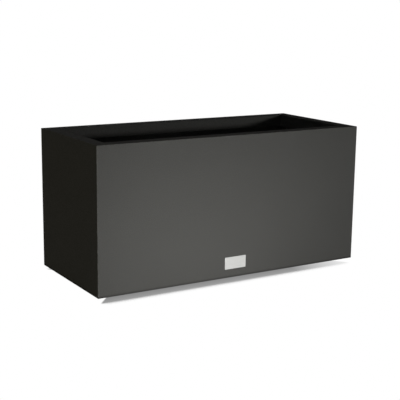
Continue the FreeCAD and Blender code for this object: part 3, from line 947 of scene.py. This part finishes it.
class PLANTER_OT_effects(bpy.types.Operator):
    """Make the shader groups that several finishes share"""
    bl_idname = "planter.effects"
    bl_label = "Shared effects"

    def execute(self, context):
        surface_grain()
        settled_dust()
        box_edge_wear()
        return {"FINISHED"}


class PLANTER_OT_walls(bpy.types.Operator):
    """Coat the walls, the corner angles, the rim gussets and the brackets"""
    bl_idname = "planter.walls"
    bl_label = "Walls"

    def execute(self, context):
        coat = charcoal_coat(context.scene.planter.coat)
        dress(PANELS, coat)
        dress(["corner_angle_" + corner for corner in CORNERS], coat)
        dress(["rim_gusset_" + corner for corner in CORNERS], coat)
        dress(["brace_bracket_front", "brace_bracket_back"], coat)
        return {"FINISHED"}


class PLANTER_OT_pan(bpy.types.Operator):
    """Leave the floor pan and the brace in bare zinc"""
    bl_idname = "planter.pan"
    bl_label = "Pan and brace"

    def execute(self, context):
        dress(["base_pan", "cross_brace"], spangled_zinc(context.scene.planter.zinc))
        return {"FINISHED"}


class PLANTER_OT_welds(bpy.types.Operator):
    """Run stitch welds along the corner angles and the brackets, and seams across the bottom mitres"""
    bl_idname = "planter.welds"
    bl_label = "Welds"
    MITRE_START = 0.003
    MITRE_END = 0.024
    CORNER_MARGIN = 0.045
    BRACKET_LOW = 0.006
    BRACKET_HIGH = 0.010

    def execute(self, context):
        weld = context.scene.planter.weld
        beads = []
        for corner in CORNERS:
            beads += self.corner_beads(corner, weld)
        for side in ("front", "back"):
            beads += self.bracket_beads(side, weld)
        seams = [self.mitre_seam(side_x, side_y, weld) for side_x in (-1, 1) for side_y in (-1, 1)]
        coat = named_material("charcoal_coat")
        add_piece("stitch_welds", joined(beads), coat)
        add_piece("mitre_seams", joined(seams), coat)
        return {"FINISHED"}

    def corner_beads(self, corner, weld):
        """Stitches down both free edges of one corner angle, where its legs end on the walls."""
        low, high = np.asarray(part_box("corner_angle_" + corner))
        side_x, side_y = np.sign(low[:2])
        wall_x, wall_y = np.maximum(np.abs(low), np.abs(high))[:2]
        edge_x, edge_y = np.minimum(np.abs(low), np.abs(high))[:2]
        room = high[2] - low[2] - 2 * self.CORNER_MARGIN - weld.stitch
        bottoms = low[2] + self.CORNER_MARGIN + room * np.linspace(0, 1, weld.stitches)
        on_long = (side_x * edge_x, side_y * wall_y)
        on_short = (side_x * wall_x, side_y * edge_y)
        beads = []
        for bottom in bottoms:
            for x, y in (on_long, on_short):
                start = (x, y, bottom)
                end = (x, y, bottom + weld.stitch)
                beads.append(weld_bead(start, end, (-side_x, 0, 0), (0, -side_y, 0), weld))
        return beads

    def bracket_beads(self, side, weld):
        """One bead down each side of a bracket's wall leg."""
        low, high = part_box("brace_bracket_" + side)
        side_y = -1 if side == "front" else 1
        wall = side_y * max(abs(low[1]), abs(high[1]))
        bottom = low[2] + self.BRACKET_LOW
        top = high[2] - self.BRACKET_HIGH
        beads = []
        for x, out in ((low[0], -1), (high[0], 1)):
            beads.append(weld_bead((x, wall, bottom), (x, wall, top), (out, 0, 0), (0, -side_y, 0), weld))
        return beads

    def mitre_seam(self, side_x, side_y, weld):
        """Flat seam across one mitre of the bottom flanges, on their underside."""
        outer, inner = [
            (side_x * (WALL_X - inset), side_y * (WALL_Y - inset), WALL_FOOT)
            for inset in (self.MITRE_START, self.MITRE_END)]
        across = np.array((side_x, -side_y, 0)) / math.sqrt(2) * weld.seam_width / weld.size
        down = np.array((0, 0, -1)) * weld.seam_height / weld.size
        return weld_bead(outer, inner, across, down, weld, turn=math.pi)


class PLANTER_OT_rivets(bpy.types.Operator):
    """Set the blind rivets that hold the pan"""
    bl_idname = "planter.rivets"
    bl_label = "Rivets"
    HEAD_RADIUS = 0.0048
    TAIL_RADIUS = 0.0036
    HEAD_RISE = 0.0016
    PER_LONG_SIDE = 5
    CORNER_INSET = 0.062

    def execute(self, context):
        low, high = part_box("base_rivets")
        one = rivet_surface(low[2], high[2], high[2] - self.HEAD_RISE, self.HEAD_RADIUS, self.TAIL_RADIUS)
        row_x = high[0] - self.HEAD_RADIUS
        row_y = high[1] - self.HEAD_RADIUS
        reach_x = WALL_X - self.CORNER_INSET
        reach_y = WALL_Y - self.CORNER_INSET
        along = np.linspace(-reach_x, reach_x, self.PER_LONG_SIDE)
        places = [(x, y, 0) for y in (-row_y, row_y) for x in along]
        places += [(x, y, 0) for x in (-row_x, row_x) for y in (-reach_y, reach_y)]
        plated_zinc(context.scene.planter.zinc)
        add_fasteners(places, [("pan_rivets", one, "base_rivets")])
        return {"FINISHED"}


class PLANTER_OT_feet(bpy.types.Operator):
    """Mould the rubber feet"""
    bl_idname = "planter.feet"
    bl_label = "Feet"
    BASE_RADIUS = 0.019
    RECESS_RADIUS = 0.0085
    RECESS_DEPTH = 0.009
    DUST = 0.10

    def execute(self, context):
        rubber = moulded_rubber("foot_rubber", context.scene.planter.rubber.foot_colour, self.DUST)
        for corner in CORNERS:
            node_name = "foot_" + corner
            low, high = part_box(node_name)
            top_radius = (high[0] - low[0]) / 2
            surface = foot_surface(
                low[2], high[2], self.BASE_RADIUS, top_radius, self.RECESS_RADIUS, self.RECESS_DEPTH)
            placed = at_places(surface, [node_middle(node_name)])
            add_piece("rubber_" + node_name, placed, rubber, replaced=[node_name])
        return {"FINISHED"}


class PLANTER_OT_foot_fasteners(bpy.types.Operator):
    """Put a screw, a washer and a nut at each foot"""
    bl_idname = "planter.foot_fasteners"
    bl_label = "Foot fasteners"
    SCREW_HEAD_RADIUS = 0.0055
    SOCKET_FLATS = 0.004
    SOCKET_DEPTH = 0.002

    def execute(self, context):
        places = [node_middle("foot_" + corner) for corner in CORNERS]
        washer_low, washer_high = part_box("foot_washers")
        screw_low, screw_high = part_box("foot_screws")
        nut_low, nut_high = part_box("foot_nuts")
        washer_radius = washer_high[0] - max(place[0] for place in places)
        washer = washer_surface(washer_low[2], washer_high[2], washer_radius)
        screw = screw_surface(screw_low[2], washer_low[2], screw_high[2], self.SCREW_HEAD_RADIUS,
                              self.SOCKET_FLATS, self.SOCKET_DEPTH)
        nut = nut_surface(nut_low[2], nut_high[2])
        add_fasteners(places, [
            ("foot_ring_washers", washer, "foot_washers"),
            ("foot_button_screws", screw, "foot_screws"),
            ("foot_hexagon_nuts", nut, "foot_nuts"),
        ])
        return {"FINISHED"}


class PLANTER_OT_bolts(bpy.types.Operator):
    """Bolt the brace to its brackets"""
    bl_idname = "planter.bolts"
    bl_label = "Brace bolts"

    def execute(self, context):
        bolt_low, bolt_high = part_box("brace_bolts")
        nut_low, nut_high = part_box("brace_nuts")
        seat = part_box("cross_brace")[1][2]
        reach = bolt_high[1] - NUT_FLATS / 2
        places = [(0, -reach, 0), (0, reach, 0)]
        bolt = bolt_surface(bolt_low[2], seat, bolt_high[2])
        nut = nut_surface(nut_low[2], nut_high[2])
        add_fasteners(places, [
            ("brace_hexagon_bolts", bolt, "brace_bolts"),
            ("brace_hexagon_nuts", nut, "brace_nuts"),
        ])
        return {"FINISHED"}


class PLANTER_OT_plugs(bpy.types.Operator):
    """Mould the drain plugs, each on its own body"""
    bl_idname = "planter.plugs"
    bl_label = "Drain plugs"
    STEM_RADIUS = 0.0122
    STEM_LENGTH = 0.008
    TAPER = 0.0012
    CAP_THICKNESS = 0.003
    TAB_HALF_WIDTH = 0.008
    TAB_HALF_THICKNESS = 0.002
    TAB_ROOT = 0.0012
    DUST = 0.12

    def execute(self, context):
        rubber = moulded_rubber("plug_rubber", context.scene.planter.rubber.plug_colour, self.DUST)
        for corner in CORNERS:
            node_name = "drain_plug_" + corner
            low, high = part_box(node_name)
            seat = low[2] + self.STEM_LENGTH
            cap_top = seat + self.CAP_THICKNESS
            cap_radius = (high[0] - low[0]) / 2
            body = plug_surface(low[2], seat, cap_top, cap_radius, self.STEM_RADIUS, self.TAPER)
            tab = tab_surface(cap_top - self.TAB_ROOT, high[2], self.TAB_HALF_WIDTH, self.TAB_HALF_THICKNESS)
            surface = at_places(joined([body, tab]), [node_middle(node_name)])
            add_piece("rubber_plug_" + corner, surface, rubber, body=node_name,
                      replaced=[node_name])
        return {"FINISHED"}


class PLANTER_OT_badge(bpy.types.Operator):
    """Make the bare plate on the front and finish the pad behind it"""
    bl_idname = "planter.badge"
    bl_label = "Badge"
    CORNER = 0.0015
    BEVEL = 0.0004

    def execute(self, context):
        badge = context.scene.planter.badge
        low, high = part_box("badge_plate")
        surface = plate_surface(low, high, badge.border, badge.field_depth, self.CORNER, self.BEVEL)
        add_piece("brushed_badge", facing_out(surface), brushed_plate(badge),
                  replaced=["badge_plate"])
        dress(["badge_adhesive_pad"], foam_pad())
        return {"FINISHED"}


class PLANTER_OT_stage(bpy.types.Operator):
    """Set the floor, the surround, the lamps and the camera"""
    bl_idname = "planter.stage"
    bl_label = "Stage"
    FLOOR_REACH = 12.0
    FLOOR_PAINT = 0.7
    SENSOR = 36.0
    WALL_MIDDLE = 0.20
    TOP_SPREAD = math.radians(60)
    # Each lamp under the name of its power setting, with its place, its aim and its size
    LAMPS = {
        "front_lamp": ((-0.22, -0.90, 0.05), (-0.22, -WALL_Y, 0.10), (0.62, 0.08)),
        "high_lamp": ((1.40, -2.30, 0.655), (0.20, WALL_Y, 0.42), (0.60, 0.12)),
        "back_lamp": ((0.30, 2.30, WALL_MIDDLE), (0.0, WALL_Y, WALL_MIDDLE), (1.20, 0.35)),
        "side_lamp": ((2.30, 0.30, WALL_MIDDLE), (WALL_X, 0.0, WALL_MIDDLE), (1.20, 0.35)),
        "left_lamp": ((-2.20, 0.0, WALL_MIDDLE), (-WALL_X, 0.0, WALL_MIDDLE), (1.00, 0.35)),
        "top_lamp": ((-0.30, 0.0, 2.20), (-0.30, 0.0, 0.0), (0.50, 0.50)),
        "mouth_lamp": ((0.0, 0.0, 0.362), (0.0, 0.0, 0.0), (0.82, 0.30)),
    }

    def execute(self, context):
        stage = context.scene.planter.stage
        self.make_floor()
        self.make_surround(stage)
        lamps = {}
        for name, (place, aim, size) in self.LAMPS.items():
            lamps[name] = self.make_lamp(name, place, aim, size, getattr(stage, name))
        lamps["left_lamp"].color = stage.left_tint
        lamps["top_lamp"].spread = self.TOP_SPREAD
        self.make_camera(stage)
        context.scene.view_settings.view_transform = "Standard"
        return {"FINISHED"}

    def shown_white(self, tree):
        """One for what the camera, a mirror or a glass shows, nought for what only lights the object."""
        path = tree.nodes.new("ShaderNodeLightPath").outputs
        shown = maths(tree, "MAXIMUM", path["Is Camera Ray"], path["Is Glossy Ray"])
        return maths(tree, "MAXIMUM", shown, path["Is Transmission Ray"])

    def make_floor(self):
        """Pale floor that shows white apart from the shade under the box."""
        reach = self.FLOOR_REACH
        points = [(-reach, -reach, 0), (reach, -reach, 0), (reach, reach, 0), (-reach, reach, 0)]
        mesh = bpy.data.meshes.new("floor")
        mesh.from_pydata(points, [], [(0, 1, 2, 3)])
        floor = bpy.data.objects.new("floor", mesh)
        bpy.context.scene.collection.objects.link(floor)
        material = bpy.data.materials.new("studio_floor")
        material.use_nodes = True
        tree = material.node_tree
        tree.nodes.clear()
        glow = add_node(tree, "ShaderNodeEmission", {"Color": self.floor_tone(tree), "Strength": 1.0})
        paint = add_node(tree, "ShaderNodeBsdfDiffuse", {"Color": grey(self.FLOOR_PAINT)})
        mix = add_node(tree, "ShaderNodeMixShader", {
            0: self.shown_white(tree), 1: paint.outputs[0], 2: glow.outputs[0]})
        add_node(tree, "ShaderNodeOutputMaterial", {"Surface": mix.outputs[0]})
        mesh.materials.append(material)

    def floor_tone(self, tree):
        """White, grey where the box covers it, less so at its ends and to the right, dark far under it."""
        cover_reach = 0.06
        cover_span = (0.52, 0.66)
        strip_depth = 0.046
        end_insets = (0.006, 0.045)
        end_fade = 0.006
        right_part = 0.52 * WALL_X
        right_strength = 0.97
        end_strength = 0.2
        tone_depth = 0.05
        outer_tone = 0.33
        inner_tone = 0.23
        far_span = (0.08, 0.11)
        far_tone = 0.02
        openness = add_node(tree, "ShaderNodeAmbientOcclusion", {"Distance": cover_reach}, samples=16)
        covered = remapped(tree, openness.outputs["AO"], cover_span, to=(1.0, 0.0))
        place, to_end, to_side = box_place(tree)
        inset = remapped(tree, to_side, (0.0, strip_depth), to=end_insets)
        clear_of_ends = remapped(tree, maths(tree, "SUBTRACT", to_end, inset), (0.0, end_fade))
        end_part = remapped(tree, place["X"], (right_part, WALL_X), to=(1.0, end_strength))
        long_part = remapped(tree, place["X"], (-WALL_X, right_part), to=(1.0, right_strength))
        shade = product(tree, covered, clear_of_ends, end_part, long_part)
        far_under = remapped(tree, maths(tree, "MINIMUM", to_side, to_end), far_span)
        depth = remapped(tree, to_side, (0.0, tone_depth))
        under = blended(tree, depth, grey(outer_tone), grey(inner_tone))
        under = blended(tree, far_under, under, grey(far_tone))
        return blended(tree, maths(tree, "MAXIMUM", shade, far_under), grey(1.0), under)

    def make_surround(self, stage):
        """Surround that shows white and sheds little light."""
        world = bpy.data.worlds.new("studio")
        world.use_nodes = True
        bpy.context.scene.world = world
        tree = world.node_tree
        strength = remapped(tree, self.shown_white(tree), (0.0, 1.0), to=(stage.surround, 1.0))
        background = tree.nodes["Background"]
        feed(tree, background.inputs["Color"], grey(1.0))
        feed(tree, background.inputs["Strength"], strength)

    def make_lamp(self, name, place, aim, size, power):
        """Soft rectangular lamp that looks at its aim and isn't seen itself."""
        data = bpy.data.lights.new(name, "AREA")
        data.shape = "RECTANGLE"
        data.size, data.size_y = size
        data.energy = power
        lamp = bpy.data.objects.new(name, data)
        way = Vector(aim) - Vector(place)
        turn = way.to_track_quat("-Z", "Y").to_matrix().to_4x4()
        lamp.matrix_world = Matrix.Translation(place) @ turn
        lamp.visible_camera = False
        bpy.context.scene.collection.objects.link(lamp)
        return data

    def make_camera(self, stage):
        """Camera on a ball round its aim, turned by its roll."""
        flat = math.cos(stage.elevation)
        back = Vector((
            math.sin(stage.azimuth) * flat, -math.cos(stage.azimuth) * flat, math.sin(stage.elevation)))
        right = (-back).cross(Vector((0, 0, 1))).normalized()
        up = right.cross(-back)
        rolled_right = right * math.cos(stage.roll) + up * math.sin(stage.roll)
        rolled_up = up * math.cos(stage.roll) - right * math.sin(stage.roll)
        turn = Matrix((rolled_right, rolled_up, back)).transposed().to_4x4()
        data = bpy.data.cameras.new("camera")
        data.lens = stage.lens
        data.sensor_width = self.SENSOR
        camera = bpy.data.objects.new("camera", data)
        camera.matrix_world = Matrix.Translation(Vector(stage.aim) + back * stage.distance) @ turn
        bpy.context.scene.collection.objects.link(camera)
        bpy.context.scene.camera = camera


class PLANTER_PT_sidebar(bpy.types.Panel):
    """Steps and settings of the planter"""
    bl_idname = "PLANTER_PT_sidebar"
    bl_label = "Planter"
    bl_space_type = "VIEW_3D"
    bl_region_type = "UI"
    bl_category = "Planter"

    def draw(self, context):
        for operator in OPERATORS:
            self.layout.operator(operator.bl_idname)
        settings = context.scene.planter
        for part in PlanterSettings.__annotations__:
            box = self.layout.box()
            box.label(text=part.title())
            for key in getattr(settings, part).__annotations__:
                box.prop(getattr(settings, part), key)


OPERATORS = (
    PLANTER_OT_effects,
    PLANTER_OT_walls,
    PLANTER_OT_pan,
    PLANTER_OT_welds,
    PLANTER_OT_rivets,
    PLANTER_OT_feet,
    PLANTER_OT_foot_fasteners,
    PLANTER_OT_bolts,
    PLANTER_OT_plugs,
    PLANTER_OT_badge,
    PLANTER_OT_stage,
)
SETTINGS = (
    CoatSettings,
    ZincSettings,
    RubberSettings,
    BadgeSettings,
    WeldSettings,
    StageSettings,
    PlanterSettings,
)
CLASSES = SETTINGS + OPERATORS + (PLANTER_PT_sidebar,)


def register():
    """Register the settings, the operators and the panel."""
    for cls in CLASSES:
        bpy.utils.register_class(cls)
    bpy.types.Scene.planter = bpy.props.PointerProperty(type=PlanterSettings)


def unregister():
    """Take the settings, the operators and the panel out again."""
    del bpy.types.Scene.planter
    for cls in reversed(CLASSES):
        bpy.utils.unregister_class(cls)


def main():
    """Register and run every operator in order."""
    register()
    for operator in OPERATORS:
        family, name = operator.bl_idname.split(".")
        getattr(getattr(bpy.ops, family), name)()


if __name__ == "__main__":
    main()
